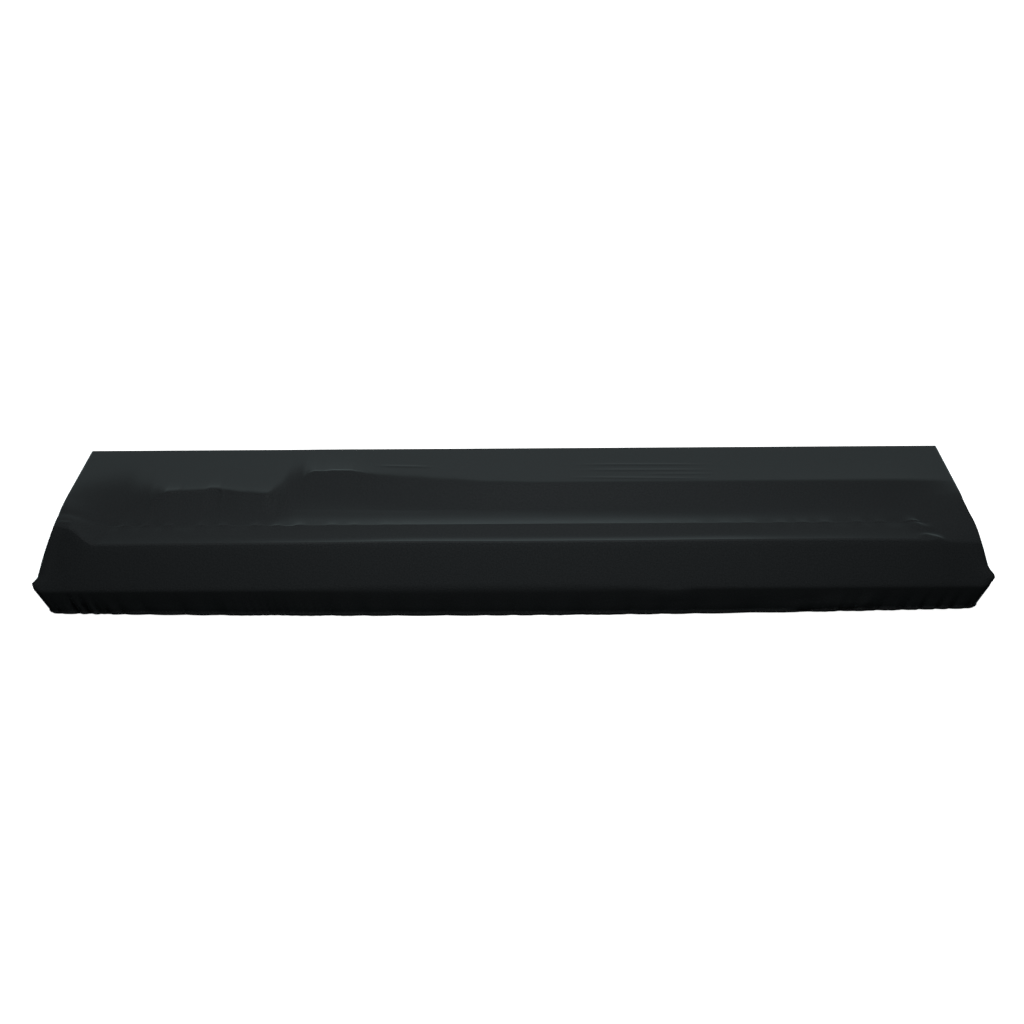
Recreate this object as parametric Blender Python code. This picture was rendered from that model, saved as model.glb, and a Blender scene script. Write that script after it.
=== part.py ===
"""Fitted stretch cover for a slab keyboard of 76 keys: one cloth, hollow and open underneath.

The cloth is modelled as it stands when it is drawn over the keyboard. X runs along the keys, Y from the player
to the back, Z up. The shape is worked out in sizes counted from the front edge of the white keys, and is then
moved so that the origin lies under the middle of the top panel, on the face that rests on the keyboard.
"""

import math

import bmesh
import bpy

# What the cloth is stretched over, in metres
WHITE_KEYS = 45
KEY_PITCH = 0.0235
KEYS_HALF = WHITE_KEYS * KEY_PITCH / 2
OCTAVE = 7 * KEY_PITCH
BLACK_KEYS_AT = (0.0421, 0.0695, 0.0969, 0.1381, 0.1655)
TIPS_Y = 0.050
TIPS_Z = 0.010
PANEL_Y = 0.145
PANEL_Z = 0.038
BACK_Y = 0.297
BACK_Z = 0.0482

# The cloth's outline at its three edges, top, widest and hem
TOP_HALF = 0.5690
TOP_FLARE = 0.0120
FLARE_FROM_Y = 0.060
WIDE_HALF = 0.5940
WIDE_MID_X = -0.0010
WIDE_FRONT_Y = -0.008
WIDE_BACK_Y = 0.307
WIDE_Z = -0.058
WIDE_CORNER = 0.009
WALL_BULGE = 0.0020
HEM_INSET = 0.0165
HEM_CORNER = 0.010
HEM_Z = -0.0915
HEM_SAG = 0.0060
HEM_TURN = 0.007

# The cloth itself
THICK = 0.0015
EDGE = 0.003
EAR_OUT = 0.0085
EAR_REACH = 0.007

# Where the cloth leaves the keys' front edge to run back to the side, left and right
CUT_LEFT = 0.014
CUT_RIGHT = 0.004

# The crest at the front of the top panel, one row for each place along the keys.
# Columns: along X, crest Y, crest Z, how soft the crest is.
CREST = (
    (-0.5675, 0.145, 0.0395, 0.0010),
    (-0.4750, 0.145, 0.0380, 0.0010),
    (-0.4500, 0.132, 0.0360, 0.0006),
    (-0.3800, 0.128, 0.0390, 0.0004),
    (-0.3400, 0.127, 0.0370, 0.0005),
    (-0.3050, 0.130, 0.0350, 0.0016),
    (-0.2850, 0.148, 0.0400, 0.0016),
    (-0.2500, 0.163, 0.0485, 0.0006),
    (-0.2150, 0.165, 0.0490, 0.0006),
    (-0.1260, 0.155, 0.0445, 0.0010),
    (-0.0400, 0.148, 0.0400, 0.0010),
    (0.0300, 0.145, 0.0380, 0.0008),
    (0.5675, 0.145, 0.0390, 0.0008),
)
CREST_REACH = 0.045

# How deep the cloth sinks between what carries it, mid length and at the ends: over the slope behind the black
# keys' tips, over the white keys in front of them, and from one tip to the next
KEYS_SINK = (0.0068, 0.0020)
FRONT_SINK = (0.0024, 0.0008)
TIPS_SINK = (0.0006, 0.0014)
LIP_RISE = 0.0035
LIP_END_Z = -0.001

# The side edge of the top, which falls away from the panel's plane towards the front
SIDE_FROM_Y = 0.110
SIDE_DROP = 0.0300
SIDE_CURVE = 2.4
RAMP_FROM = 0.490
RAMP_CURVE = 1.25

# Gathers of the elastic hem
GATHER_WIDE = 0.052
GATHER_TIGHT = 0.028
GATHER_DEPTH = 0.0032
TIGHT_FROM = 0.40

# How finely the cloth is divided: places along the keys counted from an end, and rows counted in stages, where
# 0 is the front edge, 1 the black keys' tips, 2 the crest of the panel and 3 the back
ENDS = (0.0, 0.0035, 0.0080, 0.0140, 0.0240, 0.0350, 0.0460, 0.0580)
ROWS = (0.0, 0.12, 0.35, 0.82, 1.0, 1.14, 1.5, 1.85, 1.95, 2.0, 2.05, 2.2, 2.6, 2.94, 3.0)


def soft_min(a, b, soft):
    """The lower of two heights, rounded where they cross."""
    gap = (a - b) / soft
    if abs(gap) > 30:
        return min(a, b)
    return min(a, b) - soft * math.log1p(math.exp(-abs(gap)))


def smooth(low, high, value):
    """0 below low, 1 above high, and a soft step between."""
    t = min(max((value - low) / (high - low), 0.0), 1.0)
    return t * t * (3 - 2 * t)


def mix(a, b, share):
    return a + (b - a) * share


def read_row(table, x):
    """The table's values at x, smoothly between its rows."""
    for before, after in zip(table, table[1:]):
        if x <= after[0]:
            share = smooth(before[0], after[0], x)
            return [mix(a, b, share) for a, b in zip(before[1:], after[1:])]
    return list(table[-1][1:])


def sunk(y, start, end, sink):
    """Height of cloth that hangs from start to end, (y, z) each, carried on straight past both."""
    (y0, z0), (y1, z1) = start, end
    t = (y - y0) / (y1 - y0)
    bend = 4 * sink
    if t < 0:
        return z0 + t * (z1 - z0 - bend)
    if t > 1:
        return z1 + (t - 1) * (z1 - z0 + bend)
    return mix(z0, z1, t) - bend * t * (1 - t)


def black_keys():
    """The middle of each black key along X: five to an octave, and the first of them once more at the right."""
    octaves = int(WHITE_KEYS / 7) + 1
    places = [-KEYS_HALF + at + i * OCTAVE for i in range(octaves) for at in BLACK_KEYS_AT]
    return [x for x in places if x < KEYS_HALF - KEY_PITCH]


TIPS = black_keys()


def mid_share(x):
    """1 in the middle of the keys, 0 at their ends."""
    return 1 - smooth(0.10, KEYS_HALF - 0.02, abs(x))


def tips_height(x):
    """The cloth along the black keys' tips, a little lower between one tip and the next."""
    from_tip = min(abs(x - tip) for tip in TIPS)
    between_tips = smooth(0.004, 0.0135, from_tip)
    return TIPS_Z - mix(TIPS_SINK[1], TIPS_SINK[0], mid_share(x)) * between_tips


def panel_height(y):
    return mix(PANEL_Z, BACK_Z, (y - PANEL_Y) / (BACK_Y - PANEL_Y))


def lip_height(x):
    return LIP_END_Z + LIP_RISE * max(0.0, 1 - (x / KEYS_HALF) ** 2)


def keys_height(x, y):
    """The cloth over the panel, the black keys' tips and the white keys' front edge."""
    middle = mid_share(x)
    tips = (TIPS_Y, tips_height(x))
    if y < TIPS_Y:
        return sunk(y, (0.0, lip_height(x)), tips, mix(FRONT_SINK[1], FRONT_SINK[0], middle))
    crest_y, crest_z, crest_soft = read_row(CREST, x)
    slope = sunk(y, tips, (crest_y, crest_z), mix(KEYS_SINK[1], KEYS_SINK[0], middle))
    lift = crest_z - panel_height(crest_y)
    behind = panel_height(y) + lift * math.exp(-max(y - crest_y, 0.0) / CREST_REACH)
    return soft_min(behind, slope, crest_soft)


def side_height(y):
    fallen = max(SIDE_FROM_Y - y, 0.0) / SIDE_FROM_Y
    return panel_height(y) - SIDE_DROP * fallen ** SIDE_CURVE


def half_at(y):
    """Half the width of the top, which flares towards the front."""
    return TOP_HALF + TOP_FLARE * (1 - smooth(-0.010, FLARE_FROM_Y, y))


def top_height(x, y):
    ramp = min(max(abs(x) - RAMP_FROM, 0.0) / (TOP_HALF - RAMP_FROM), 1.0)
    return mix(keys_height(x, y), side_height(y), ramp ** RAMP_CURVE)


def front_of(x):
    """Y of the top's front edge, which runs back at both ends."""
    cut = CUT_LEFT if x < 0 else CUT_RIGHT
    return cut * smooth(KEYS_HALF - 0.004, TOP_HALF + TOP_FLARE, abs(x))


def corner_side(share, half, radius):
    """(along, inward) on one side of a rounded rectangle: share runs from -1 to 1, corner to corner."""
    from_corner = half - abs(share) * half
    if from_corner >= radius:
        return share * half, 0.0
    angle = (1 - from_corner / radius) * math.pi / 4
    along = half - radius + radius * math.sin(angle)
    return math.copysign(along, share), radius * (1 - math.cos(angle))


def outline(u, half_x, front, back, radius):
    """(x, y) on a rounded rectangle about WIDE_MID_X. u runs from 0 to 4: front, right, back, left."""
    side, share = int(u) % 4, (u % 1.0) * 2 - 1
    half_y, mid_y = (back - front) / 2, (back + front) / 2
    half = half_x if side % 2 == 0 else half_y
    along, inward = corner_side(share, half, radius)
    x, y = (
        (along, front + inward),
        (half_x - inward, mid_y + along),
        (-along, back - inward),
        (-half_x + inward, mid_y - along),
    )[side]
    return x + WIDE_MID_X, y


def edge_point(u):
    """Where the top meets the wall."""
    side, share = int(u) % 4, u % 1.0
    across, along = ((share, 0.0), (1.0, share), (1 - share, 1.0), (0.0, 1 - share))[side]
    return top_point(across * 2 - 1, along)


def top_point(across, along, inset=0.0):
    """The top at a share across, from -1 to 1, and along, from 0 at the front to 1 at the back."""
    front = front_of(across * half_at(0.0)) + inset
    y = mix(front, BACK_Y - inset, along)
    x = across * (half_at(y) - inset)
    return x, y, top_height(x, y)


def wide_point(u):
    x, y = outline(u, WIDE_HALF, WIDE_FRONT_Y, WIDE_BACK_Y, WIDE_CORNER)
    return x, y, WIDE_Z


def hem_sag(x):
    return HEM_SAG * max(0.0, 1 - (x / WIDE_HALF) ** 2)


def gather(u):
    """The hem's gathers, from -1 at a crease to 1 on a fold's back, tighter towards the front corners."""
    x, y = outline(u, WIDE_HALF, WIDE_FRONT_Y, WIDE_BACK_Y, WIDE_CORNER)
    side = int(u) % 4
    along = x if side % 2 == 0 else y
    tight = smooth(TIGHT_FROM, WIDE_HALF, abs(x)) if side == 0 else 0.5
    turns = along / mix(GATHER_WIDE, GATHER_TIGHT, tight * 0.5)
    wander = 0.35 * math.sin(9.1 * along + side) + 0.22 * math.sin(31.0 * along + 2.0 * side)
    fold = abs(math.sin(math.pi * (turns + wander)))
    fade = smooth(0.0, 0.10, 0.5 - abs(u % 1.0 - 0.5)) if side % 2 else 1.0
    corner = smooth(0.0, 0.020, WIDE_HALF - abs(x)) if side == 0 else fade
    return (2 * fold - 1) * corner


def hem_point(u, inset, rise, depth):
    """A point of the hem, that far in from the widest outline, with its gathers."""
    near = inset - depth * gather(u)
    x, y = outline(u, WIDE_HALF - near, WIDE_FRONT_Y + near, WIDE_BACK_Y - near, HEM_CORNER)
    return x, y, HEM_Z - hem_sag(x) + rise


def between(a, b, share):
    return tuple(mix(p, q, share) for p, q in zip(a, b))


def ear(u):
    """How much of the corner dart's ear is at u: 1 on the seam of each corner."""
    nearest = round(u)
    side = int(u) % 4
    reach = (WIDE_HALF if side % 2 == 0 else (WIDE_BACK_Y - WIDE_FRONT_Y) / 2) * 2
    return math.exp(-((abs(u - nearest) * reach / EAR_REACH) ** 2))


def wall_point(u, share, ear_out=0.0):
    """A point on the wall, share of the way down from the top's edge to the widest line."""
    x, y, z = between(edge_point(u), wide_point(u), share)
    if int(u) % 2 or u == int(u):
        x += math.copysign(WALL_BULGE * math.sin(math.pi * share), x)
    out = ear_out * ear(u)
    mid_y = (WIDE_BACK_Y + WIDE_FRONT_Y) / 2
    return x + math.copysign(out * 0.9, x), y + math.copysign(out * 0.45, y - mid_y), z


def wall_height(u):
    return edge_point(u)[2] - WIDE_Z


# The rings of the wall and hem, from the top's edge down. Each takes the place along the edge, u.
RINGS = (
    lambda u: wall_point(u, EDGE / wall_height(u)),
    lambda u: wall_point(u, 0.40),
    lambda u: wall_point(u, 0.75),
    lambda u: wall_point(u, 0.91, EAR_OUT),
    lambda u: wall_point(u, 1 - EDGE / wall_height(u), EAR_OUT * 0.15),
    lambda u: between(wide_point(u), hem_point(u, HEM_INSET, 0.0, 0.0), 0.10),
    lambda u: between(wide_point(u), hem_point(u, HEM_INSET, 0.0, GATHER_DEPTH), 0.60),
    lambda u: hem_point(u, HEM_INSET, 0.0, GATHER_DEPTH),
    lambda u: hem_point(u, HEM_INSET + HEM_TURN, 0.0010, GATHER_DEPTH),
)


def column_shares():
    """Places along the keys from -1 to 1: the ends, each black key and the middle of each gap between two."""
    gaps = [(a + b) / 2 for a, b in zip(TIPS, TIPS[1:])]
    left = [-TOP_HALF + place for place in ENDS]
    places = sorted(left + [-x for x in left] + TIPS + gaps)
    return [x / TOP_HALF for x in places]


def row_share(stage, x):
    """How far back, from 0 to 1, a row lies at x."""
    stops = (front_of(x), TIPS_Y, read_row(CREST, x)[0], BACK_Y)
    before = min(int(stage), 2)
    y = mix(stops[before], stops[before + 1], stage - before)
    return (y - stops[0]) / (BACK_Y - stops[0])


def key_of(point):
    return tuple(round(c, 7) for c in point)


def make_top(cloth):
    """The top as a grid. Returns its boundary vertices in order as (vertex, u)."""
    columns = column_shares()
    last_c, last_r = len(columns) - 1, len(ROWS) - 1
    made = bmesh.ops.create_grid(cloth, x_segments=last_c, y_segments=last_r, size=1.0)
    rim = {}
    for vertex in made["verts"]:
        c = round((vertex.co.x + 1) / 2 * last_c)
        r = round((vertex.co.y + 1) / 2 * last_r)
        along = row_share(ROWS[r], columns[c] * TOP_HALF)
        vertex.co = top_point(columns[c], along, EDGE)
        across = (columns[c] + 1) / 2
        if r == 0 and c < last_c:
            rim[across] = vertex
        elif c == last_c and r < last_r:
            rim[1 + along] = vertex
        elif r == last_r and c > 0:
            rim[2 + 1 - across] = vertex
        elif c == 0 and r > 0:
            rim[3 + 1 - along] = vertex
    return [(rim[u], u) for u in sorted(rim)]


def edges_of(loop):
    """The edges that join the loop's neighbours."""
    vertices = [vertex for vertex, _ in loop]
    return [
        next(e for e in a.link_edges if e.other_vert(a) is b)
        for a, b in zip(vertices, vertices[1:] + vertices[:1])
    ]


def add_ring(cloth, loop, place):
    """Extrudes the loop and sets each new vertex where place says."""
    made = bmesh.ops.extrude_edge_only(cloth, edges=edges_of(loop))
    fresh = {key_of(v.co): v for v in made["geom"] if isinstance(v, bmesh.types.BMVert)}
    ring = [(fresh[key_of(vertex.co)], u) for vertex, u in loop]
    for vertex, u in ring:
        vertex.co = place(u)
    return ring


def make_cloth():
    cloth = bmesh.new()
    loop = make_top(cloth)
    for place in RINGS:
        loop = add_ring(cloth, loop, place)
    carried_y = (PANEL_Y + BACK_Y) / 2
    carried_z = top_height(0.0, carried_y) - THICK
    bmesh.ops.translate(cloth, verts=cloth.verts, vec=(0.0, -carried_y, -carried_z))
    bmesh.ops.recalc_face_normals(cloth, faces=cloth.faces)
    highest = max(cloth.faces, key=lambda face: face.calc_center_median().z)
    if highest.normal.z < 0:
        bmesh.ops.reverse_faces(cloth, faces=cloth.faces)
    return cloth


def knit_material():
    material = bpy.data.materials.new("black_stretch_jersey")
    material.use_nodes = True
    shader = material.node_tree.nodes["Principled BSDF"]
    shader.inputs["Base Color"].default_value = (0.010, 0.011, 0.012, 1.0)
    shader.inputs["Roughness"].default_value = 0.62
    shader.inputs["Metallic"].default_value = 0.0
    return material


def main():
    for old in list(bpy.data.objects):
        bpy.data.objects.remove(old)
    cloth = make_cloth()
    mesh = bpy.data.meshes.new("cover_cloth")
    cloth.to_mesh(mesh)
    cloth.free()
    mesh.shade_smooth()
    mesh.materials.append(knit_material())
    cover = bpy.data.objects.new("cover_cloth", mesh)
    bpy.context.scene.collection.objects.link(cover)
    wall = cover.modifiers.new("cloth_thickness", "SOLIDIFY")
    wall.thickness = THICK
    wall.offset = -1.0
    wall.use_even_offset = True
    wall.use_quality_normals = True


main()
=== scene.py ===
import math

import bmesh
import bpy
from mathutils import Matrix, Vector


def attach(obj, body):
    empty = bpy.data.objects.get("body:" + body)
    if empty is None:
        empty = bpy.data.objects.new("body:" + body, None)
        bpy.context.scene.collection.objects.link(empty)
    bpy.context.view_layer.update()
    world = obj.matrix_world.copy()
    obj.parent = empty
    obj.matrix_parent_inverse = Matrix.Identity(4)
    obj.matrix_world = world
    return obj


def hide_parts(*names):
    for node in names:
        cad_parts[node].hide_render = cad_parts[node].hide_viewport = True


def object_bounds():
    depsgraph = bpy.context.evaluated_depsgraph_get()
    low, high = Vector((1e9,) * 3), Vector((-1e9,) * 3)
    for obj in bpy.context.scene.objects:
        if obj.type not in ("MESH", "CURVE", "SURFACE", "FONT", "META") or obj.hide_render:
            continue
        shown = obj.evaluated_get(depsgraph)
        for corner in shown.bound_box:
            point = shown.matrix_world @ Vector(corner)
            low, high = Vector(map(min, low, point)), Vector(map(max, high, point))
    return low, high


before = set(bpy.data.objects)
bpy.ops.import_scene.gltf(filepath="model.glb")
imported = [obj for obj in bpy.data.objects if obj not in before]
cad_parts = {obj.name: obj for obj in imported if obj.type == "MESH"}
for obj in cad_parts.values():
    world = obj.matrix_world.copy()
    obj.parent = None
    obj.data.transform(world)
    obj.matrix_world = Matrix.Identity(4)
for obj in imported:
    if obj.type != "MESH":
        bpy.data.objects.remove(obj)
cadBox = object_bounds()

# What carries the cloth, in metres. X runs along the keys, Y from their front edge to the back, Z up.
keyboard = {
    "whiteKeys": 45,
    "keyPitch": 0.0235,
    "blackKeysAt": (0.0421, 0.0695, 0.0969, 0.1381, 0.1655),  # from the left end of each octave
    "tipsY": 0.050,
    "tipsZ": 0.010,
    "panelY": 0.145,  # where the top panel begins
    "panelZ": 0.038,
    "backY": 0.297,
    "backZ": 0.0482,
}
keysHalf = keyboard["whiteKeys"] * keyboard["keyPitch"] / 2

# The two ends of the top. The left one stands on a block beside the keys, the right one falls to the front edge.
leftEnd = {
    "drop": 0.0120,  # below the panel's plane at the front
    "curve": 2.0,  # how much of that drop comes near the front
    "rampFrom": 0.5150,  # where the cloth leaves the keys for the end, at the front, and where it gets there
    "rampTo": 0.5480,
    "flare": 0.0010,  # wider by this much at the front
    "cut": 0.0160,  # how far the front edge runs back there
    "earZ": -0.0500,
    "earTall": 0.0050,
}
rightEnd = {
    "drop": 0.0360,
    "curve": 2.4,
    "rampFrom": 0.5290,
    "rampTo": 0.5800,
    "flare": 0.0120,
    "cut": 0.0040,
    "earZ": -0.0458,
    "earTall": 0.0075,
}

cover = {
    "thick": 0.0015,
    "topHalf": 0.5690,
    "edgeRound": 0.0022,
    "wideHalf": 0.5940,  # the cover's widest outline, at its lower edge
    "wideMidX": -0.0010,
    "wideFrontY": -0.008,
    "wideBackY": 0.307,
    "wideZ": -0.058,
    "wideCorner": 0.009,
    "bandRound": (0.0030, 0.0064),  # rounding of the lower edge, at the ends and mid length
    "bandRoundMid": (-0.03, 0.10, 0.26),  # where mid length is, how far it reaches, where it has ended
    "wallBulge": 0.0020,
    "earOut": 0.0085,  # the point where a corner dart ends
    "earReach": 0.007,
    "earAim": (0.90, 0.45),  # how much of it goes along X and Y
    "sideFromY": 0.110,  # the ends drop from here to the front
    "flareFromY": 0.085,
    "flareToY": -0.010,
    "rampFrom": 0.490,
    "rampCurve": 1.15,
    "rampBackY": 0.100,  # behind this both ends are alike
    "cutMargin": 0.004,
    "midLength": (0.10, 0.02),  # the slack fades from here to this far before the keys end
    "tipsSink": (0.0001, 0.0010),  # between two black keys, mid length and at the ends
    "tipsSinkReach": 0.010,
    "tipsSinkFrom": (0.004, 0.0135),  # distances from a tip
    "printStep": (-0.0035, 0.0010),
    "printSettle": 0.010,
    "printReach": 0.030,
    "slackBehindTips": (0.0008, 0.050),  # how deep the cloth hangs there mid length, and over what distance
    "slackBehindLip": (0.0005, 0.024),
    "crestReach": 0.045,
}

hem = {
    "inset": 0.0165,
    "corner": 0.010,
    "z": -0.0915,
    "sag": 0.0060,
    "channel": 0.0065,  # height of the hem's casing above its edge
    "channelSwell": 0.0010,
    "turnIn": 0.0042,
    "gatherWide": 0.052,
    "gatherTight": 0.028,
    "gatherDepth": 0.0012,
    "gatherFull": 0.9,  # share of the band's depth where the gathers are full
    "gatherWander": ((9.1, 0.35), (31.0, 0.22)),  # radians a metre, share of a gather
    "cornerFade": (0.10, 0.020),  # the gathers end at the corners: share of an end, metres of the front
    "tightFrom": 0.45,
    "ruckPitch": 0.0125,  # the small gathers that the elastic draws in between the wide ones
    "ruckDepth": 0.0005,
    "ruckWander": ((23.0, 0.6), (61.0, 0.3)),
    "ruckStrength": (0.55, 0.45, 17.0),
}

# The crest at the front of the panel. Columns: x, y, z, how soft it is, height of the roll along it.
crest = (
    (-0.5675, 0.1450, 0.0393, 0.0060, 0.0000),
    (-0.5000, 0.1400, 0.0378, 0.0070, 0.0000),
    (-0.4700, 0.1220, 0.0367, 0.0060, 0.0000),
    (-0.4560, 0.1175, 0.0364, 0.0040, 0.0000),
    (-0.4420, 0.1175, 0.0364, 0.0007, 0.0001),
    (-0.4200, 0.1215, 0.0366, 0.0006, 0.0001),
    (-0.3950, 0.1240, 0.0368, 0.0006, 0.0001),
    (-0.3880, 0.1290, 0.0371, 0.0006, 0.0002),
    (-0.3780, 0.1285, 0.0371, 0.0006, 0.0002),
    (-0.3720, 0.1240, 0.0368, 0.0006, 0.0001),
    (-0.3400, 0.1140, 0.0361, 0.0008, 0.0000),
    (-0.3122, 0.1070, 0.0356, 0.0012, 0.0000),
    (-0.3020, 0.1150, 0.0364, 0.0070, 0.0000),
    (-0.2880, 0.1550, 0.0393, 0.0100, 0.0000),
    (-0.2770, 0.1800, 0.0412, 0.0080, 0.0000),
    (-0.2680, 0.1880, 0.0423, 0.0030, 0.0003),
    (-0.2600, 0.1920, 0.0430, 0.0009, 0.0009),
    (-0.2470, 0.1920, 0.0428, 0.0009, 0.0006),
    (-0.2360, 0.1940, 0.0431, 0.0005, 0.0010),
    (-0.2130, 0.1935, 0.0430, 0.0006, 0.0009),
    (-0.2020, 0.1900, 0.0423, 0.0009, 0.0004),
    (-0.1890, 0.1840, 0.0415, 0.0014, 0.0002),
    (-0.1700, 0.1770, 0.0407, 0.0020, 0.0000),
    (-0.1370, 0.1680, 0.0397, 0.0026, 0.0000),
    (-0.0840, 0.1566, 0.0389, 0.0026, 0.0000),
    (-0.0300, 0.1480, 0.0382, 0.0016, 0.0000),
    (0.0400, 0.1450, 0.0380, 0.0008, 0.0000),
    (0.5675, 0.1450, 0.0390, 0.0008, 0.0000),
)
crestRoll = 0.0030  # half width of that roll

# The small stepped fold on the slope at the left. Columns: x, y, how far the cloth behind it stands up.
slopeFold = (
    (-0.5675, 0.1200, 0.0000),
    (-0.4640, 0.1050, 0.0000),
    (-0.4600, 0.1060, 0.0007),
    (-0.4520, 0.1070, 0.0007),
    (-0.4460, 0.1100, 0.0003),
    (-0.4430, 0.1155, 0.0013),
    (-0.4280, 0.1175, 0.0013),
    (-0.4240, 0.1180, 0.0006),
    (-0.4050, 0.1205, 0.0007),
    (-0.3940, 0.1220, 0.0008),
    (-0.3890, 0.1270, 0.0014),
    (-0.3770, 0.1265, 0.0014),
    (-0.3720, 0.1220, 0.0006),
    (-0.3480, 0.1150, 0.0007),
    (-0.3350, 0.1110, 0.0005),
    (-0.3240, 0.1080, 0.0007),
    (-0.3170, 0.1050, 0.0011),
    (-0.3090, 0.1045, 0.0011),
    (-0.3020, 0.1060, 0.0000),
    (0.5675, 0.1200, 0.0000),
)
slopeFoldBack = 0.0150  # how far behind it the cloth has settled again
slopeFoldStep = (-0.0006, 0.0003)  # from just in front of the fold to just behind it
slopeFoldGap = 0.0015  # it stays at least this far in front of the crest

# Height of the front edge along the keys. Columns: x, z.
lip = (
    (-0.5675, 0.0000),
    (-0.5300, 0.0002),
    (-0.4200, 0.0006),
    (-0.2800, 0.0010),
    (-0.1200, 0.0021),
    (0.0000, 0.0014),
    (0.1300, 0.0015),
    (0.2700, 0.0021),
    (0.4000, 0.0019),
    (0.4800, 0.0011),
    (0.5300, -0.0006),
)

# How the cloth lies on the black keys before it rises to the crest, and on the white keys before it rises to
# the tips. Columns: x, the knee's place and softness behind the tips, and the same in front of them, as shares.
rests = (
    (-0.5000, 0.00, 0.90, 0.05, 0.90),
    (-0.4000, 0.30, 0.70, 0.05, 0.90),
    (-0.2750, 0.61, 0.40, 0.35, 0.40),
    (-0.1100, 0.62, 0.16, 0.43, 0.10),
    (0.0000, 0.65, 0.10, 0.44, 0.07),
    (0.1300, 0.63, 0.13, 0.43, 0.08),
    (0.2600, 0.57, 0.24, 0.43, 0.12),
    (0.3850, 0.50, 0.42, 0.30, 0.50),
    (0.4800, 0.20, 0.70, 0.05, 0.90),
)

# Wrinkles on the top. Columns: from x, y, to x, y, half width, height.
topWrinkles = (
    (0.0700, 0.2225, 0.2700, 0.2185, 0.0034, 0.00035),
    (0.0700, 0.1993, 0.2750, 0.1953, 0.0034, 0.00035),
    (0.1650, 0.1806, 0.2680, 0.1786, 0.0028, 0.00025),
    (0.0614, 0.1690, 0.2680, 0.1587, 0.0036, 0.00035),
    (-0.1850, 0.2220, -0.1000, 0.2150, 0.0040, 0.00035),
    (0.1100, 0.1242, 0.1720, 0.1236, 0.0024, 0.00015),
    (0.1840, 0.1152, 0.2160, 0.1148, 0.0024, 0.00015),
    (0.4960, 0.0500, 0.5260, 0.0220, 0.0080, 0.00230),
    (0.5020, 0.0160, 0.5370, -0.0020, 0.0080, 0.00280),
    (-0.5680, 0.0250, -0.5470, 0.0220, 0.0028, 0.00120),
)

# How strongly a black key's tip prints through the cloth. Columns: x, height, half width.
tipPrints = (
    (-0.5200, 0.0011, 0.0050),
    (-0.3000, 0.0008, 0.0050),
    (-0.1800, 0.0003, 0.0050),
    (-0.1000, 0.0000, 0.0050),
    (0.2800, 0.0000, 0.0050),
    (0.3400, 0.0003, 0.0045),
    (0.4700, 0.0006, 0.0055),
    (0.4900, 0.0020, 0.0090),
    (0.5200, 0.0020, 0.0090),
)

# Creases and leaning pleats on the front. Columns: from x, z, to x, z, half width, how far they stand out.
frontCreases = (
    (-0.5400, -0.0100, -0.5668, -0.0225, 0.0040, 0.0008),
    (-0.5668, -0.0225, -0.5850, -0.0224, 0.0040, 0.0006),
    (-0.5520, -0.0700, -0.5380, -0.0980, 0.0024, -0.0042),
    (-0.5400, -0.0700, -0.5250, -0.0980, 0.0022, -0.0036),
    (-0.5240, -0.0720, -0.5130, -0.0980, 0.0020, -0.0030),
    (-0.5110, -0.0780, -0.5010, -0.0980, 0.0020, -0.0024),
    (0.3340, -0.0906, 0.4336, -0.0780, 0.0032, 0.0032),
    (0.3950, -0.0905, 0.4584, -0.0770, 0.0030, 0.0030),
    (0.1400, -0.0700, 0.2325, -0.0580, 0.0040, 0.0016),
)


def smooth(low, high, value):
    t = min(max((value - low) / (high - low), 0.0), 1.0)
    return t * t * (3 - 2 * t)


def mix(a, b, share):
    return a + (b - a) * share


def softMin(a, b, soft):
    gap = (a - b) / soft
    if abs(gap) > 30:
        return min(a, b)
    return min(a, b) - soft * math.log1p(math.exp(-abs(gap)))


def readRow(table, x):
    for before, after in zip(table, table[1:]):
        if x <= after[0]:
            share = smooth(before[0], after[0], x)
            return [mix(a, b, share) for a, b in zip(before[1:], after[1:])]
    return list(table[-1][1:])


def rested(y, start, end, knee, soft):
    # cloth that lies level at start, (y, z), and rises past a soft knee to end
    (y0, z0), (y1, z1) = start, end

    def risen(t):
        return (t - knee + math.hypot(t - knee, soft)) / 2

    low, high = risen(0.0), risen(1.0)
    return mix(z0, z1, (risen((y - y0) / (y1 - y0)) - low) / (high - low))


def blackKeys():
    octave = 7 * keyboard["keyPitch"]
    octaves = int(keyboard["whiteKeys"] / 7) + 1
    places = [-keysHalf + at + i * octave for i in range(octaves) for at in keyboard["blackKeysAt"]]
    return [x for x in places if x < keysHalf - keyboard["keyPitch"]]


tips = blackKeys()


def midShare(x):
    start, margin = cover["midLength"]
    return 1 - smooth(start, keysHalf - margin, abs(x))


def nearestTip(x):
    return min(abs(x - tip) for tip in tips)


def tipsDip(x, y):
    # how far the cloth sinks between two tips
    midSink, endSink = cover["tipsSink"]
    between = smooth(*cover["tipsSinkFrom"], nearestTip(x)) * mix(endSink, midSink, midShare(x))
    return between * math.exp(-((y - keyboard["tipsY"]) / cover["tipsSinkReach"]) ** 2)


def tipPrint(x, y):
    # the cloth steps up at a tip and settles again behind it
    height, wide = readRow(tipPrints, x)
    behind = y - keyboard["tipsY"]
    if abs(behind) > cover["printReach"]:
        return 0.0
    along = smooth(*cover["printStep"], behind) * math.exp(-max(behind, 0.0) / cover["printSettle"])
    return height * along * math.exp(-((nearestTip(x) / wide) ** 2))


def panelHeight(y):
    k = keyboard
    return mix(k["panelZ"], k["backZ"], (y - k["panelY"]) / (k["backY"] - k["panelY"]))


def foldStep(x, y):
    # the cloth stands up at the small fold and settles again behind it
    foldY, rise = readRow(slopeFold, x)
    behind = y - foldY
    return rise * smooth(*slopeFoldStep, behind) * math.exp(-max(behind, 0.0) / slopeFoldBack)


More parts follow.
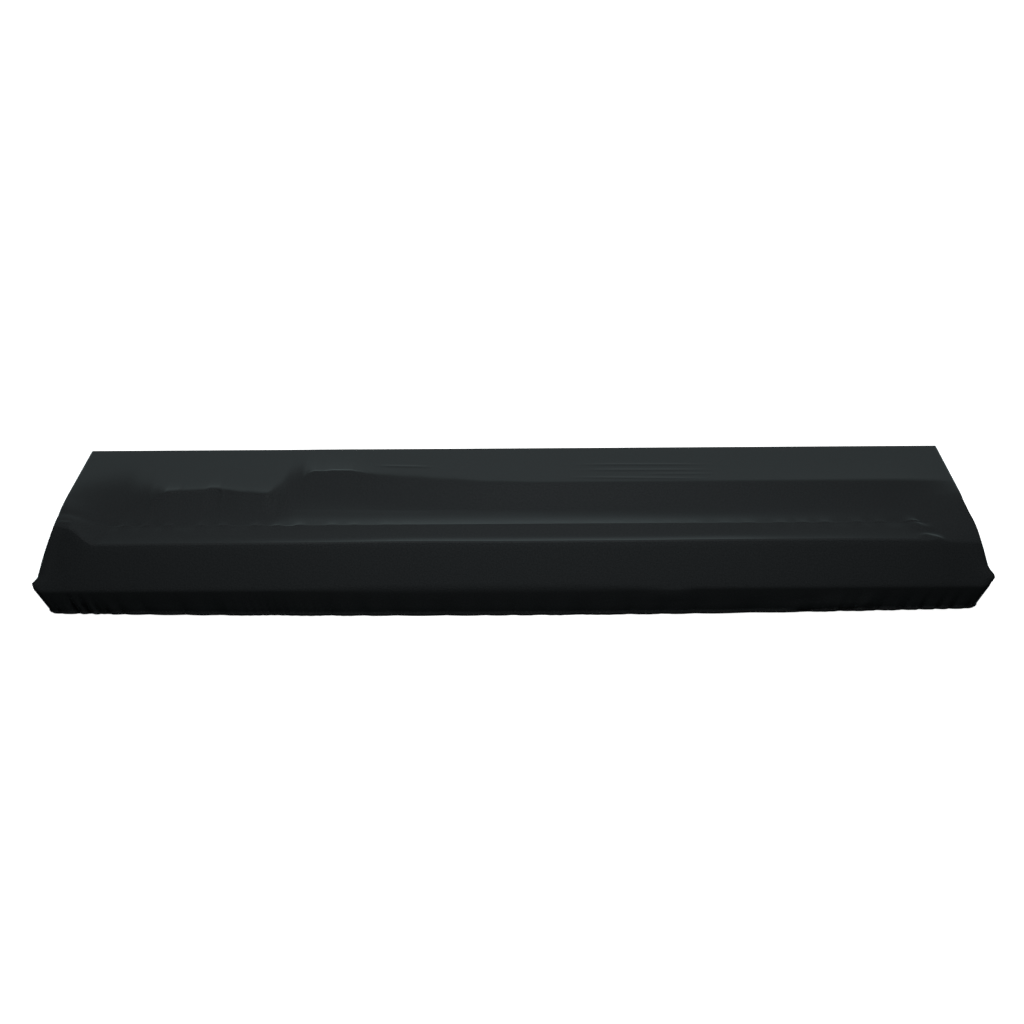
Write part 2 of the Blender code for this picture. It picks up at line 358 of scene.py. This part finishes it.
def slack(x, behind, depth, reach):
    if not 0 < behind < reach:
        return 0.0
    return depth * midShare(x) * math.sin(math.pi * behind / reach)


def keysHeight(x, y):
    lowTips = (keyboard["tipsY"], keyboard["tipsZ"])
    knee, soft, frontKnee, frontSoft = readRow(rests, x)
    if y < keyboard["tipsY"]:
        return rested(y, (0.0, readRow(lip, x)[0]), lowTips, frontKnee, frontSoft)
    crestY, crestZ, crestSoft, roll = readRow(crest, x)
    slope = rested(y, lowTips, (crestY, crestZ), knee, soft)
    lift = crestZ - panelHeight(crestY)
    behind = panelHeight(y) + lift * math.exp(-max(y - crestY, 0.0) / cover["crestReach"])
    behind += roll * math.exp(-(((y - crestY) / crestRoll - 1) ** 2))
    return softMin(behind, slope, crestSoft)


def ridge(rows, x, y):
    # the height at (x, y) of all the wrinkles in a table, each fading towards its two ends
    total = 0.0
    for x0, y0, x1, y1, wide, height in rows:
        reach = 3 * wide  # further off nothing is left of it
        if not min(x0, x1) - reach < x < max(x0, x1) + reach:
            continue
        if not min(y0, y1) - reach < y < max(y0, y1) + reach:
            continue
        dx, dy = x1 - x0, y1 - y0
        length = math.hypot(dx, dy)
        along = ((x - x0) * dx + (y - y0) * dy) / length
        off = ((x - x0) * dy - (y - y0) * dx) / length
        end = 0.35 * length
        fade = smooth(0.0, end, along) * smooth(0.0, end, length - along)
        total += height * fade * math.exp(-((off / wide) ** 2))
    return total


def sideHeight(x, y):
    end = leftEnd if x < 0 else rightEnd
    fallen = max(cover["sideFromY"] - y, 0.0) / cover["sideFromY"]
    return panelHeight(y) - end["drop"] * fallen ** end["curve"]


def halfAt(across, y):
    flare = (leftEnd if across < 0 else rightEnd)["flare"]
    return cover["topHalf"] + flare * (1 - smooth(cover["flareToY"], cover["flareFromY"], y))


def plainTopHeight(x, y):
    # the top without wrinkles, prints and slack
    end = leftEnd if x < 0 else rightEnd
    back = min(max(y, 0.0) / cover["rampBackY"], 1.0)
    start = mix(end["rampFrom"], cover["rampFrom"], back)
    stop = mix(end["rampTo"], cover["topHalf"], back)
    ramp = min(max((abs(x) - start) / (stop - start), 0.0), 1.0)
    if x < 0:
        ramp = mix(smooth(0.0, 1.0, ramp), ramp ** cover["rampCurve"], back)
    else:
        ramp = ramp ** cover["rampCurve"]
    return mix(keysHeight(x, y), sideHeight(x, y), ramp)


def topHeight(x, y):
    slacks = slack(x, y - keyboard["tipsY"], *cover["slackBehindTips"]) + slack(x, y, *cover["slackBehindLip"])
    details = tipPrint(x, y) - tipsDip(x, y) + foldStep(x, y) + ridge(topWrinkles, x, y)
    return plainTopHeight(x, y) + details - slacks


def frontOf(x):
    end = leftEnd if x < 0 else rightEnd
    return end["cut"] * smooth(keysHalf - cover["cutMargin"], cover["topHalf"] + end["flare"], abs(x))


def topPoint(across, along, inset=0.0):
    front = frontOf(across * halfAt(across, 0.0)) + inset
    y = mix(front, keyboard["backY"] - inset, along)
    x = across * (halfAt(across, y) - inset)
    return Vector((x, y, topHeight(x, y)))


def edgePlace(u):
    # where on the top's rim u is; u runs 0 to 4 over front, right, back, left
    share = u % 1.0
    across, along = ((share, 0.0), (1.0, share), (1 - share, 1.0), (0.0, 1 - share))[int(u) % 4]
    return across * 2 - 1, along


def edgePoint(u):
    return topPoint(*edgePlace(u))


def cornerSide(share, half, radius):
    # (along, inward) on one side of a rounded rectangle, share from -1 to 1
    fromCorner = half - abs(share) * half
    if fromCorner >= radius:
        return share * half, 0.0
    angle = (1 - fromCorner / radius) * math.pi / 4
    along = half - radius + radius * math.sin(angle)
    return math.copysign(along, share), radius * (1 - math.cos(angle))


def outline(u, near, radius):
    # (x, y) on the cover's widest outline drawn in by near
    halfX = cover["wideHalf"] - near
    front, back = cover["wideFrontY"] + near, cover["wideBackY"] - near
    side, share = int(u) % 4, (u % 1.0) * 2 - 1
    halfY, midY = (back - front) / 2, (back + front) / 2
    along, inward = cornerSide(share, halfX if side % 2 == 0 else halfY, radius)
    x, y = (
        (along, front + inward),
        (halfX - inward, midY + along),
        (-along, back - inward),
        (-halfX + inward, midY - along),
    )[side]
    return x + cover["wideMidX"], y


def outward(u):
    # the way out of the wall at u, level, from two places just beside it
    a, b = (outline(u + beside, 0.0, cover["wideCorner"]) for beside in (-0.004, 0.004))
    return Vector((b[1] - a[1], a[0] - b[0], 0.0)).normalized()


def widePoint(u):
    x, y = outline(u, 0.0, cover["wideCorner"])
    return Vector((x, y, cover["wideZ"]))


def gather(u):
    # the wide gathers along the elastic, from -1 in to 1 out
    x, y = outline(u, 0.0, cover["wideCorner"])
    side = int(u) % 4
    along = x if side % 2 == 0 else y
    tight = smooth(hem["tightFrom"], cover["wideHalf"], abs(x)) if side == 0 else 0.5
    turns = along / mix(hem["gatherWide"], hem["gatherTight"], tight * 0.5)
    wander = sum(
        part * math.sin(rate * along + i * side) for i, (rate, part) in enumerate(hem["gatherWander"], start=1)
    )
    fold = abs(math.sin(math.pi * (turns + wander)))
    endFade, frontFade = hem["cornerFade"]
    corner = 1.0
    if side == 0:
        corner = smooth(0.0, frontFade, cover["wideHalf"] - abs(x))
    elif side % 2:
        corner = smooth(0.0, endFade, 0.5 - abs(u % 1.0 - 0.5))
    return (2 * fold - 1) * corner


def ruck(u):
    # the small uneven gathers along the elastic
    x, y = outline(u, 0.0, cover["wideCorner"])
    along = x if int(u) % 2 == 0 else y
    wander = sum(part * math.sin(rate * along + i) for i, (rate, part) in enumerate(hem["ruckWander"]))
    level, swing, rate = hem["ruckStrength"]
    strength = level + swing * math.sin(rate * along + 2.0 * int(u))
    return math.sin(2 * math.pi * (along / hem["ruckPitch"] + wander)) * strength


def hemPoint(u, inset, depth):
    # on the lowest edge, drawn in by inset, its gathers depth deep
    near = inset - depth * gather(u) - hem["ruckDepth"] * (depth / hem["gatherDepth"]) * ruck(u)
    x, y = outline(u, near, hem["corner"])
    sag = hem["sag"] * max(0.0, 1 - (x / cover["wideHalf"]) ** 2)
    return Vector((x, y, hem["z"] - sag))


def ear(u):
    # 1 at a corner and nothing a little way off
    length = cover["wideBackY"] - cover["wideFrontY"] if int(u) % 2 else 2 * cover["wideHalf"]
    return math.exp(-((abs(u - round(u)) * length / cover["earReach"]) ** 2))


def creased(u, point):
    # moved out by the front's creases and pleats
    if 0 <= u <= 1:
        point = point + outward(u) * ridge(frontCreases, point.x, point.z)
    return point


def wallPoint(u, share):
    point = edgePoint(u).lerp(widePoint(u), share)
    if int(u) % 2 or u == int(u):
        point.x += math.copysign(cover["wallBulge"] * math.sin(math.pi * share), point.x)
    end = leftEnd if point.x < 0 else rightEnd
    out = cover["earOut"] * ear(u) * math.exp(-((point.z - end["earZ"]) / end["earTall"]) ** 2)
    midY = (cover["wideBackY"] + cover["wideFrontY"]) / 2
    outX, outY = (out * aim for aim in cover["earAim"])
    point += Vector((math.copysign(outX, point.x), math.copysign(outY, point.y - midY), 0.0))
    return creased(u, point)


def tuckPoint(u, share):
    # on the band that the elastic draws in under the lower edge
    depth = hem["gatherDepth"] * smooth(0.0, hem["gatherFull"], share)
    return creased(u, widePoint(u).lerp(hemPoint(u, hem["inset"], depth), share))


def bandRound(u):
    x = outline(u, 0.0, cover["wideCorner"])[0]
    middle, full, ended = cover["bandRoundMid"]
    wide = smooth(ended, full, abs(x - middle)) if int(u) == 0 else 0.0
    return mix(*cover["bandRound"], wide)


def arc(start, corner, end, share):
    # a rounding from start to end that bends towards corner
    return start.lerp(corner, share).lerp(corner.lerp(end, share), share)


def topEdge(u, share):
    # the rounding between the top and the wall
    wall = edgePoint(u)
    height = wall.z - cover["wideZ"]
    start = topPoint(*edgePlace(u), cover["edgeRound"])
    return arc(start, wall, wallPoint(u, cover["edgeRound"] / height), share)


def lowEdge(u, share):
    # the rounding between the wall and the band under it
    height = edgePoint(u).z - cover["wideZ"]
    tuckLength = (hemPoint(u, hem["inset"], 0.0) - widePoint(u)).length
    size = bandRound(u)
    return arc(wallPoint(u, 1 - size / height), widePoint(u), tuckPoint(u, size / tuckLength), share)


def channelPoint(u, up, swell, inward=0.0):
    # on the hem's casing: up from its lowest edge, swell out of the band, inward under it
    point = hemPoint(u, hem["inset"] + inward, hem["gatherDepth"])
    lean = (widePoint(u) - point).normalized() * up
    return creased(u, point + lean + outward(u) * swell)


# Loops from the top's rim down the wall to the hem and its turned-in edge. Columns: on what, where on it.
rings = (
    (topEdge, 0.35),
    (topEdge, 0.70),
    (topEdge, 1.0),
    (wallPoint, 0.16),
    (wallPoint, 0.30),
    (wallPoint, 0.45),
    (wallPoint, 0.60),
    (wallPoint, 0.73),
    (wallPoint, 0.80),
    (wallPoint, 0.87),
    (lowEdge, 0.0),
    (lowEdge, 0.33),
    (lowEdge, 0.67),
    (lowEdge, 1.0),
    (tuckPoint, 0.42),
    (tuckPoint, 0.60),
    (channelPoint, hem["channel"] + 0.0012, 0.0),
    (channelPoint, hem["channel"], -0.0003),
    (channelPoint, hem["channel"] * 0.65, hem["channelSwell"]),
    (channelPoint, hem["channel"] * 0.25, hem["channelSwell"]),
    (channelPoint, 0.0, 0.0, 0.0008),
    (channelPoint, 0.0002, 0.0, hem["turnIn"]),
    (channelPoint, hem["channel"], -0.0012, hem["turnIn"]),
)

# Places along the keys. Columns: from x, to x, how many steps.
columnSteps = (
    (-0.5690, -0.5640, 3),
    (-0.5640, -0.5250, 26),
    (-0.5250, -0.4700, 18),
    (-0.4700, -0.2960, 80),
    (-0.2960, -0.1600, 48),
    (-0.1600, 0.0600, 36),
    (0.0600, 0.2900, 50),
    (0.2900, 0.4800, 56),
    (0.4800, 0.5640, 34),
    (0.5640, 0.5690, 3),
)
# Rows from the front edge (0) over the tips (1), the small fold (2) and the crest (3) to the back (4).
# Columns: from, to, steps.
rowSteps = (
    (0.00, 0.10, 3),
    (0.10, 0.88, 9),
    (0.88, 1.06, 6),
    (1.06, 1.96, 9),
    (1.96, 2.02, 6),
    (2.02, 2.85, 3),
    (2.85, 3.06, 6),
    (3.06, 3.56, 26),
    (3.56, 3.96, 7),
    (3.96, 4.00, 3),
)


def steps(table):
    places = [table[0][0]]
    for start, end, count in table:
        places += [mix(start, end, (i + 1) / count) for i in range(count)]
    return places


def rowShare(stage, x):
    # how far back on the top that row lies at x, from 0 to 1
    crestY = readRow(crest, x)[0]
    foldY = min(readRow(slopeFold, x)[0], crestY - slopeFoldGap)
    stops = (frontOf(x), keyboard["tipsY"], foldY, crestY, keyboard["backY"])
    before = min(int(stage), 3)
    y = mix(stops[before], stops[before + 1], stage - before)
    return (y - stops[0]) / (keyboard["backY"] - stops[0])


def loopEdges(loop):
    vertices = [vertex for vertex, u in loop]
    return [
        next(edge for edge in a.link_edges if edge.other_vert(a) is b)
        for a, b in zip(vertices, vertices[1:] + vertices[:1])
    ]


carriedY = (keyboard["panelY"] + keyboard["backY"]) / 2
toMount = Vector((0.0, -carriedY, cover["thick"] - plainTopHeight(0.0, carriedY)))


def makeCover():
    mesh = bmesh.new()
    columns = [x / cover["topHalf"] for x in steps(columnSteps)]
    rows = steps(rowSteps)
    lastC, lastR = len(columns) - 1, len(rows) - 1
    grid = bmesh.ops.create_grid(mesh, x_segments=lastC, y_segments=lastR, size=1.0)
    flat, rim = {}, {}
    for vertex in grid["verts"]:
        c = round((vertex.co.x + 1) / 2 * lastC)
        r = round((vertex.co.y + 1) / 2 * lastR)
        along = rowShare(rows[r], columns[c] * cover["topHalf"])
        vertex.co = topPoint(columns[c], along, cover["edgeRound"])
        flat[vertex] = (vertex.co.x, vertex.co.y)
        across = (columns[c] + 1) / 2
        if r == 0 and c < lastC:
            rim[across] = vertex
        elif c == lastC and r < lastR:
            rim[1 + along] = vertex
        elif r == lastR and c > 0:
            rim[3 - across] = vertex
        elif c == 0 and r > 0:
            rim[4 - along] = vertex
    loop = [(rim[u], u) for u in sorted(rim)]
    placed = {vertex: (u, 0.0) for vertex, u in loop}
    for place, *where in rings:
        made = bmesh.ops.extrude_edge_only(mesh, edges=loopEdges(loop))
        fresh = {v.co.copy().freeze(): v for v in made["geom"] if isinstance(v, bmesh.types.BMVert)}
        nextLoop = [(fresh[vertex.co.copy().freeze()], u) for vertex, u in loop]
        for (above, u), (vertex, u) in zip(loop, nextLoop):
            vertex.co = place(u, *where)
            placed[vertex] = (u, placed[above][1] + (vertex.co - above.co).length)
        loop = nextLoop
    paintPlaces(mesh, flat, placed)
    bmesh.ops.translate(mesh, verts=mesh.verts, vec=toMount)
    bmesh.ops.recalc_face_normals(mesh, faces=mesh.faces)
    highest = max(mesh.faces, key=lambda face: face.calc_center_median().z)
    if highest.normal.z < 0:
        bmesh.ops.reverse_faces(mesh, faces=mesh.faces)
    return mesh


def paintPlaces(mesh, flat, placed):
    # the cloth's own map, in metres as it was knitted: the walls carry on from the top at each side
    layer = mesh.loops.layers.uv.new("cloth")
    wide, deep = 2 * cover["topHalf"], keyboard["backY"]
    for face in mesh.faces:
        onTop = all(vertex in flat for vertex in face.verts)
        if onTop:
            for corner in face.loops:
                corner[layer].uv = flat[corner.vert]
            continue
        turns = [placed[v][0] for v in face.verts]
        wraps = max(turns) - min(turns) > 2
        side = 3 if wraps else int(sum(turns) / len(turns))
        for corner in face.loops:
            u, down = placed[corner.vert]
            share = (4.0 if wraps and u < 1 else u) - side
            corner[layer].uv = (
                (-wide / 2 + share * wide, -down),
                (wide / 2 + down, share * deep),
                (wide / 2 - share * wide, deep + down),
                (-wide / 2 - down, deep - share * deep),
            )[side]


def linear(hexColour):
    # sRGB hex to the linear colour that the shader takes
    parts = [int(hexColour[i:i + 2], 16) / 255 for i in (1, 3, 5)]
    return tuple(c / 12.92 if c <= 0.04045 else ((c + 0.055) / 1.055) ** 2.4 for c in parts) + (1.0,)


def addNode(material, kind, inputs=None, **settings):
    made = material.node_tree.nodes.new("ShaderNode" + kind)
    for name, value in settings.items():
        setattr(made, name, value)
    for name, value in (inputs or {}).items():
        if isinstance(value, bpy.types.NodeSocket):
            material.node_tree.links.new(value, made.inputs[name])
        else:
            made.inputs[name].default_value = value
    return made


jersey = {
    "colour": "#141617",
    "fade": "#1d1f20",  # where the knit opens a little
    "roughness": 0.50,
    "specular": 0.01,
    "sheen": 0.99,
    "sheenRough": 0.25,
    "sheenTint": "#e4fcff",
    "wale": 0.0012,  # the real knit is 0.6 mm; drawn twice as coarse so that it shows
    "course": 0.00156,
    "uneven": 1.5,
    "loopDepth": 0.0003,
    "bump": 0.03,
    "grain": 0.0015,  # size of the uneven specks that the loops make
    "grainSpread": (0.35, 0.65),
}


def nylonJersey():
    # black nylon and elastane jersey, warp knitted: a matt black with a cold silky gleam at a low angle
    material = bpy.data.materials.new("nylonStretchJersey")
    material.use_nodes = True
    shader = material.node_tree.nodes["Principled BSDF"]
    place = addNode(material, "UVMap", uv_map="cloth")
    turns = 2 * math.pi / 20  # a Wave node's scale of 1 is 20 radians a unit
    wave = {"Vector": place.outputs["UV"], "Distortion": jersey["uneven"], "Detail": 2.0}
    wales = addNode(material, "TexWave", wave | {"Scale": turns / jersey["wale"], "Detail Scale": 2.0})
    courses = addNode(material, "TexWave", wave | {"Scale": turns / jersey["course"]}, bands_direction="Y")
    loops = addNode(material, "Math", {0: wales.outputs["Fac"], 1: courses.outputs["Fac"]}, operation="MULTIPLY")
    grain = addNode(material, "TexNoise", {"Vector": place.outputs["UV"], "Scale": 1 / jersey["grain"],
                                           "Detail": 2.0})
    low, high = jersey["grainSpread"]
    shade = addNode(material, "MapRange", {"Value": grain.outputs["Fac"], "From Min": low, "From Max": high})
    colour = addNode(material, "Mix", {"Factor": shade.outputs["Result"], "A": linear(jersey["colour"]),
                                       "B": linear(jersey["fade"])}, data_type="RGBA")
    bump = addNode(material, "Bump", {"Height": loops.outputs["Value"], "Distance": jersey["loopDepth"],
                                      "Strength": jersey["bump"]})
    material.node_tree.links.new(colour.outputs["Result"], shader.inputs["Base Color"])
    material.node_tree.links.new(bump.outputs["Normal"], shader.inputs["Normal"])
    shader.inputs["Roughness"].default_value = jersey["roughness"]
    shader.inputs["Specular IOR Level"].default_value = jersey["specular"]
    shader.inputs["Sheen Weight"].default_value = jersey["sheen"]
    shader.inputs["Sheen Roughness"].default_value = jersey["sheenRough"]
    shader.inputs["Sheen Tint"].default_value = linear(jersey["sheenTint"])
    return material


def finished(name, mesh, material):
    data = bpy.data.meshes.new(name)
    mesh.to_mesh(data)
    mesh.free()
    data.shade_smooth()
    data.materials.append(material)
    piece = bpy.data.objects.new(name, data)
    bpy.context.scene.collection.objects.link(piece)
    return piece


cloth = finished("coverCloth", makeCover(), nylonJersey())
wall = cloth.modifiers.new("clothThickness", "SOLIDIFY")
wall.thickness = cover["thick"]
wall.offset = -1.0
wall.use_quality_normals = True
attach(cloth, "root")
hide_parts("cover_cloth")
print("cover cloth:", len(cloth.data.polygons), "faces")

stitch = {
    "pitch": 0.0040,
    "long": 0.0031,
    "thread": 0.00022,  # half its thickness
    "proud": 0.00015,
    "rows": ((1.0, -0.0003), (0.58, 0.0010)),  # share of the casing's height, its swell there
    "dartPitch": 0.0045,
    "dartGap": 0.15,  # share of that pitch left at each end of a stitch
    "aim": 0.3,  # a stitch points from this share of the pitch before it to the same share behind it
    "pastCorner": 0.0001,  # of a side; there a dart's stitches take the way out of the wall
    "colour": "#141617",
    "roughness": 0.50,
    "specular": 0.15,
}
# A dart's seam from the ear down to the hem. Columns: on what, where on it.
dartSeam = ((wallPoint, 0.84), (wallPoint, 0.92), (tuckPoint, 0.15), (tuckPoint, 0.40), (tuckPoint, 0.62))


def addStitch(mesh, a, b, out):
    # one stitch lying on the cloth midway between a and b
    along = (b - a).normalized()
    middle = (a + b) / 2 + out * stitch["proud"]
    turn = Matrix((along, out.cross(along).normalized(), out)).transposed().to_4x4()
    size = Matrix.Diagonal((stitch["long"] / 2, stitch["thread"], stitch["thread"], 1.0))
    place = Matrix.Translation(middle) @ turn @ size
    bmesh.ops.create_icosphere(mesh, subdivisions=1, radius=1.0, matrix=place)


def sewHem(mesh, side):
    # both rows along one side; its length sets how many stitches they have
    ends = [outline(side + share, hem["inset"], hem["corner"]) for share in (0.0, 0.99)]
    count = round(math.dist(*ends) / stitch["pitch"])
    for share, swell in stitch["rows"]:
        for i in range(count):
            u = side + (i + 0.5) / count
            around = (u - stitch["aim"] / count, u + stitch["aim"] / count)
            a, b = (channelPoint(place, hem["channel"] * share, swell) for place in around)
            addStitch(mesh, a, b, outward(u))


def sewDart(mesh, corner):
    seam = [place(corner, where) for place, where in dartSeam]
    for start, end in zip(seam, seam[1:]):
        down = (end - start).normalized()
        out = outward(corner + stitch["pastCorner"])
        out = (out - down * out.dot(down)).normalized()  # square to the seam
        count = max(round((end - start).length / stitch["dartPitch"]), 1)
        for i in range(count):
            a, b = (start.lerp(end, (i + at) / count) for at in (stitch["dartGap"], 1 - stitch["dartGap"]))
            addStitch(mesh, a, b, out)


def makeStitches():
    mesh = bmesh.new()
    for side in range(4):
        sewHem(mesh, side)
    for corner in range(4):
        sewDart(mesh, float(corner))
    bmesh.ops.translate(mesh, verts=mesh.verts, vec=toMount)
    return mesh


def polyesterThread():
    # spun black polyester thread, a little shinier than the knit so that the stitches read from near by
    material = bpy.data.materials.new("blackPolyesterThread")
    material.use_nodes = True
    shader = material.node_tree.nodes["Principled BSDF"]
    shader.inputs["Base Color"].default_value = linear(stitch["colour"])
    shader.inputs["Roughness"].default_value = stitch["roughness"]
    shader.inputs["Specular IOR Level"].default_value = stitch["specular"]
    return material


stitches = finished("hemAndDartStitches", makeStitches(), polyesterThread())
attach(stitches, "root")
print("stitches:", len(stitches.data.polygons), "faces")

studio = {
    "camera": (0.026, -3.122, 0.7823),
    "pitch": 15.14,
    "yaw": -0.51,
    "roll": -0.49,
    "focal": 2439 / 1024,  # in picture widths
    "floorBelow": 0.0006,
    "floorHalf": 14.0,
    "floorGlow": 1.00,
    "fromAbove": 0.16,  # the room's light, and how softly it changes at the horizon
    "fromBelow": 0.08,
    "horizonSoft": 0.1,
}


def makeCamera():
    pitch, yaw, roll = (math.radians(studio[name]) for name in ("pitch", "yaw", "roll"))
    ahead = Vector((math.sin(yaw) * math.cos(pitch), math.cos(yaw) * math.cos(pitch), -math.sin(pitch)))
    level = Vector((math.cos(yaw), -math.sin(yaw), 0.0))
    upright = level.cross(ahead)
    right = math.cos(roll) * level + math.sin(roll) * upright
    above = math.cos(roll) * upright - math.sin(roll) * level
    data = bpy.data.cameras.new("camera")
    data.sensor_width = 36.0
    data.lens = data.sensor_width * studio["focal"]
    data.clip_end = 100.0
    camera = bpy.data.objects.new("camera", data)
    turn = Matrix((right, above, -ahead)).transposed().to_4x4()
    camera.matrix_world = Matrix.Translation(studio["camera"]) @ turn
    bpy.context.scene.collection.objects.link(camera)
    bpy.context.scene.camera = camera


# Columns: name, place, what it points at, width, height, watts.
softboxes = (
    ("frontTop", (0.0, -0.68, 0.74), (0.0, 0.0, -0.03), 0.7, 0.5, 17.8),
)


def makeLights():
    for name, place, target, width, height, watts in softboxes:
        data = bpy.data.lights.new(name, "AREA")
        data.shape = "RECTANGLE"
        data.size, data.size_y, data.energy = width, height, watts
        lamp = bpy.data.objects.new(name, data)
        lamp.location = place
        lamp.rotation_mode = "QUATERNION"
        lamp.rotation_quaternion = (Vector(target) - Vector(place)).to_track_quat("-Z", "Y")
        lamp.visible_camera = False
        bpy.context.scene.collection.objects.link(lamp)


def makeWorld():
    # white where the camera sees it, and a faint even light on the cloth
    world = bpy.data.worlds.new("whiteStudio")
    bpy.context.scene.world = world
    world.use_nodes = True
    nodes, links = world.node_tree.nodes, world.node_tree.links
    seen = nodes["Background"]
    seen.inputs["Color"].default_value = (1.0, 1.0, 1.0, 1.0)
    seen.inputs["Strength"].default_value = 1.0
    ambient = nodes.new("ShaderNodeBackground")
    place = nodes.new("ShaderNodeTexCoord")
    split = nodes.new("ShaderNodeSeparateXYZ")
    links.new(place.outputs["Generated"], split.inputs[0])
    height = nodes.new("ShaderNodeMapRange")
    height.interpolation_type = "SMOOTHSTEP"
    links.new(split.outputs["Z"], height.inputs["Value"])
    for name, value in {"From Min": -studio["horizonSoft"], "From Max": studio["horizonSoft"],
                        "To Min": studio["fromBelow"], "To Max": studio["fromAbove"]}.items():
        height.inputs[name].default_value = value
    links.new(height.outputs["Result"], ambient.inputs["Strength"])
    ambient.inputs["Color"].default_value = (1.0, 1.0, 1.0, 1.0)
    ray = nodes.new("ShaderNodeLightPath")
    blend = nodes.new("ShaderNodeMixShader")
    links.new(ray.outputs["Is Camera Ray"], blend.inputs[0])
    links.new(ambient.outputs[0], blend.inputs[1])
    links.new(seen.outputs[0], blend.inputs[2])
    links.new(blend.outputs[0], nodes["World Output"].inputs["Surface"])


def makeFloor():
    material = bpy.data.materials.new("paperSweep")
    material.use_nodes = True
    shader = material.node_tree.nodes["Principled BSDF"]
    shader.inputs["Base Color"].default_value = linear("#fafafa")
    shader.inputs["Roughness"].default_value = 0.9
    shader.inputs["Specular IOR Level"].default_value = 0.0
    shader.inputs["Emission Color"].default_value = (1.0, 1.0, 1.0, 1.0)
    shader.inputs["Emission Strength"].default_value = studio["floorGlow"]
    mesh = bmesh.new()
    bmesh.ops.create_grid(mesh, x_segments=1, y_segments=1, size=studio["floorHalf"])
    lowest = cadBox[0].z - studio["floorBelow"]
    bmesh.ops.translate(mesh, verts=mesh.verts, vec=(0.0, 0.0, lowest))
    floor = finished("paperFloor", mesh, material)
    floor.visible_diffuse = False  # the white sheet doesn't light the cloth from below
    floor.visible_glossy = False


makeCamera()
makeLights()
makeWorld()
makeFloor()
bpy.context.scene.view_settings.view_transform = "Standard"
print("studio: camera,", len(softboxes), "soft lights, white floor")
